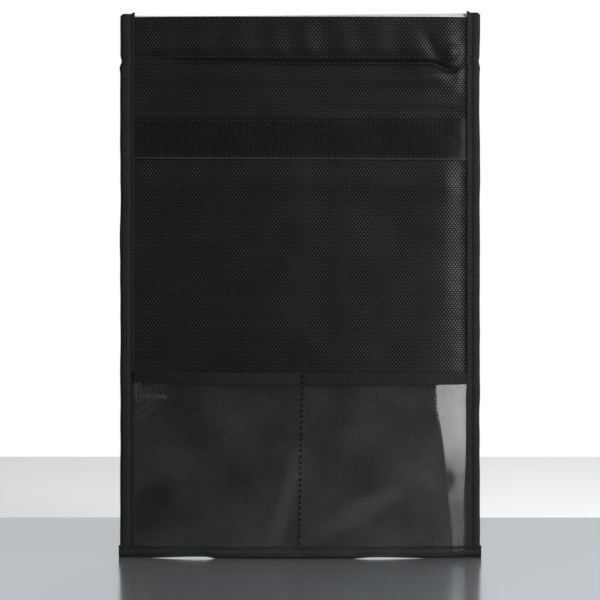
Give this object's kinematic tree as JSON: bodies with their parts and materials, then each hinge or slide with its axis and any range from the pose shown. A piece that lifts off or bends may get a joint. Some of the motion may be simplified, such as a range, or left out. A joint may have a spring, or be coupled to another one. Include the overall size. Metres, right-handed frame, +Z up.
{
  "type": "lipo safe bag",
  "caption": "Flat upright sack of black ballistic cloth with a pale fire-resistant liner, bound seams, a double-fold hook-and-loop mouth and a clear divided label pocket.",
  "frame": {"origin": "middle of the underside of the bounding box, where the bottom binding stands", "axes": "+Z up along the height to the mouth, front with the label pocket towards -Y, +X to the right seen from the front"},
  "size_m": [0.216, 0.0214, 0.3248],
  "materials": {
    "ballistic_cloth": "coarse plain weave, slight sheen",
    "liner_cloth": "smooth coated glass-fibre cloth",
    "binding_tape": "ribbed woven tape",
    "hook_tape": "rows of hooks on a woven tape",
    "loop_tape": "brushed loops on a woven tape",
    "clear_film": "clear soft sheet, slightly cloudy",
    "thread": "sewing thread"
  },
  "bodies": {
    "pouch": {"pouch_front_fabric": "ballistic_cloth", "pouch_front_liner": "liner_cloth", "pouch_back_fabric": "ballistic_cloth", "pouch_back_liner": "liner_cloth", "pouch_left_binding": "binding_tape", "pouch_right_binding": "binding_tape", "bottom_binding": "binding_tape", "front_hook_strip": "hook_tape", "label_pocket_film": "clear_film", "pocket_edge_tape": "binding_tape", "divider_stitching": "thread"},
    "fold_band": {"fold_front_fabric": "ballistic_cloth", "fold_front_liner": "liner_cloth", "fold_back_fabric": "ballistic_cloth", "fold_back_liner": "liner_cloth", "fold_left_binding": "binding_tape", "fold_right_binding": "binding_tape"},
    "mouth_band": {"mouth_front_fabric": "ballistic_cloth", "mouth_front_liner": "liner_cloth", "mouth_back_fabric": "ballistic_cloth", "mouth_back_liner": "liner_cloth", "mouth_left_binding": "binding_tape", "mouth_right_binding": "binding_tape", "mouth_hook_tape": "hook_tape", "mouth_loop_tape": "loop_tape", "closure_loop_tape": "loop_tape"}
  },
  "joints": [
    {"name": "lower_fold", "type": "hinge", "parent": "pouch", "child": "fold_band", "pos_m": [0, -0.008, 0.2657], "axis": [1, 0, 0], "range_deg": [0, 179]},
    {"name": "upper_fold", "type": "hinge", "parent": "fold_band", "child": "mouth_band", "pos_m": [0, -0.0012, 0.2954], "axis": [1, 0, 0], "range_deg": [0, 179]}
  ]
}
